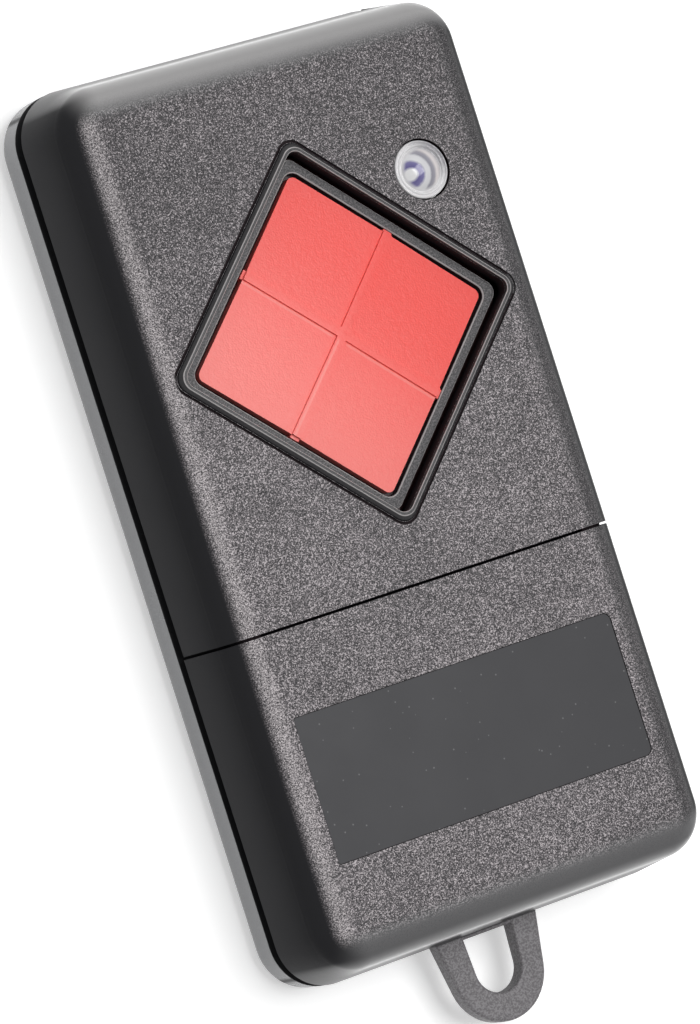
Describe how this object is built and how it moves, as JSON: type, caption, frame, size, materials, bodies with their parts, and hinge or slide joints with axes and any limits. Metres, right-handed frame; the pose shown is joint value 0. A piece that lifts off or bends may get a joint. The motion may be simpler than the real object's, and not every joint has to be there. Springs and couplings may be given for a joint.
{
  "type": "garage door remote",
  "caption": "Slim black pocket transmitter with a square red rocker key set cornerwise in a raised rim, a clear indicator lens, a sliding battery cover and a key-ring loop.",
  "frame": {"origin": "centre of the bounding box's base, key-ring loop included, on the back face", "axes": "+X across the front to the right, +Y along the case from the key-ring loop to the indicator lens, +Z out of the front face"},
  "size_m": [0.044, 0.097, 0.0159],
  "materials": {
    "case_black": "spark-eroded grain on the front, fine matt on the sides",
    "back_black": "fine matt moulding",
    "label_dark": "smooth satin",
    "key_red": "fine matt, coloured right through",
    "frame_black": "fine grain",
    "ball_steel": "polished",
    "board_green": "solder resist on glass laminate",
    "lens_clear": "clear moulding",
    "lamp_clear": "clear resin, faint red",
    "lead_tin": "tinned",
    "can_nickel": "nickel plate",
    "chip_black": "moulded resin",
    "resistor_black": "glazed top, tinned ends",
    "capacitor_tan": "plain ceramic, tinned ends",
    "dome_steel": "spring sheet",
    "cell_steel": "nickel plate",
    "sleeve_plain": "shrunk film, bare",
    "contact_nickel": "nickel-plated spring strip",
    "screw_steel": "zinc plate",
    "switch_black": "moulded",
    "switch_steel": "tin plate",
    "plunger_black": "moulded"
  },
  "bodies": {
    "case": {"front_shell": "case_black", "rear_cover": "back_black", "circuit_board": "board_green", "indicator_lens": "lens_clear", "lamp_body": "lamp_clear", "lamp_leads": "lead_tin", "antenna_wire": "lead_tin", "resonator_can": "can_nickel", "crystal_can": "can_nickel", "controller_body": "chip_black", "controller_legs": "lead_tin", "transistors": "chip_black", "smd_resistors": "resistor_black", "smd_capacitors": "capacitor_tan", "contact_domes": "dome_steel", "battery_can": "cell_steel", "battery_sleeve": "sleeve_plain", "battery_cap": "cell_steel", "negative_contact": "contact_nickel", "positive_contact": "contact_nickel", "case_screw": "screw_steel", "board_screws": "screw_steel", "switch_base_top": "switch_black", "switch_cover_top": "switch_steel", "switch_base_right": "switch_black", "switch_cover_right": "switch_steel", "switch_base_bottom": "switch_black", "switch_cover_bottom": "switch_steel", "switch_base_left": "switch_black", "switch_cover_left": "switch_steel"},
    "key_pivot": {"pivot_ball": "ball_steel"},
    "key": {"rocker_key": "key_red", "key_frame": "frame_black"},
    "lower_cover": {"battery_cover": "case_black", "label_plate": "label_dark"},
    "plunger_top": {"switch_plunger_top": "plunger_black"},
    "plunger_left": {"switch_plunger_left": "plunger_black"},
    "plunger_bottom": {"switch_plunger_bottom": "plunger_black"},
    "plunger_right": {"switch_plunger_right": "plunger_black"}
  },
  "joints": [
    {"name": "plunger_top_travel", "type": "slide", "parent": "case", "child": "plunger_top", "axis": [0, 0, 1], "range_m": [-0.00025, 0.00025]},
    {"name": "plunger_left_travel", "type": "slide", "parent": "case", "child": "plunger_left", "axis": [0, 0, 1], "range_m": [-0.00025, 0.00025]},
    {"name": "key_rock_top_bottom", "type": "hinge", "parent": "case", "child": "key_pivot", "pos_m": [0, 0.0186, 0.0106], "axis": [1, 0, 0], "range_deg": [-2.1, 2.1], "stiffness_Nm_per_rad": 0.045},
    {"name": "key_rock_left_right", "type": "hinge", "parent": "key_pivot", "child": "key", "pos_m": [0, 0.0186, 0.0106], "axis": [0, 1, 0], "range_deg": [-2.1, 2.1], "stiffness_Nm_per_rad": 0.045},
    {"name": "plunger_bottom_travel", "type": "slide", "parent": "case", "child": "plunger_bottom", "axis": [0, 0, 1], "range_m": [-0.00028, 0.00028]},
    {"name": "plunger_right_travel", "type": "slide", "parent": "case", "child": "plunger_right", "axis": [0, 0, 1], "range_m": [-0.00028, 0.00028]},
    {"name": "battery_cover_slide", "type": "slide", "parent": "case", "child": "lower_cover", "axis": [0, -1, 0], "range_m": [0, 0.033]}
  ],
  "couplings": [
    {"joint": "key_rock_top_bottom", "follows": "plunger_top_travel", "rad_per_m": 133.33},
    {"joint": "plunger_bottom_travel", "follows": "plunger_top_travel", "ratio": -1},
    {"joint": "key_rock_left_right", "follows": "plunger_left_travel", "rad_per_m": 133.33},
    {"joint": "plunger_right_travel", "follows": "plunger_left_travel", "ratio": -1}
  ]
}
